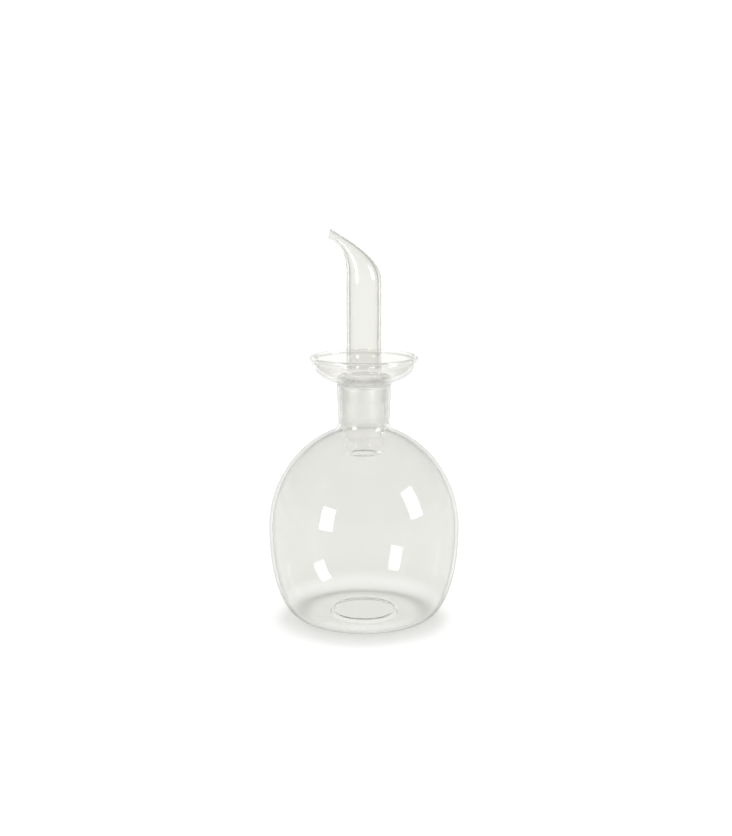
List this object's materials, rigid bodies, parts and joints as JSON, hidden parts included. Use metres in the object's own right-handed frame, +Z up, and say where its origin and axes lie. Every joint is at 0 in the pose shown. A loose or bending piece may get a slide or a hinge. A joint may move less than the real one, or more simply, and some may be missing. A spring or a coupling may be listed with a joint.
{
  "type": "glass oil cruet",
  "caption": "Clear blown-glass oil cruet: a globe bottle with a ground neck, and a hollow ground stopper with a drip cup and a bent pouring spout.",
  "frame": {"origin": "on the bottle's axis, in the plane the bottle stands on", "axes": "+Z up along the bottle's axis, -X the way the spout points"},
  "size_m": [0.105, 0.105, 0.2134],
  "materials": {
    "bottle_glass": "clear polished glass with a faint grey-green cast, the bore of the neck ground matt",
    "stopper_glass": "clear polished glass with a faint grey-green cast, the cone ground matt"
  },
  "bodies": {
    "root": {"bottle": "bottle_glass", "stopper": "stopper_glass"}
  },
  "joints": []
}
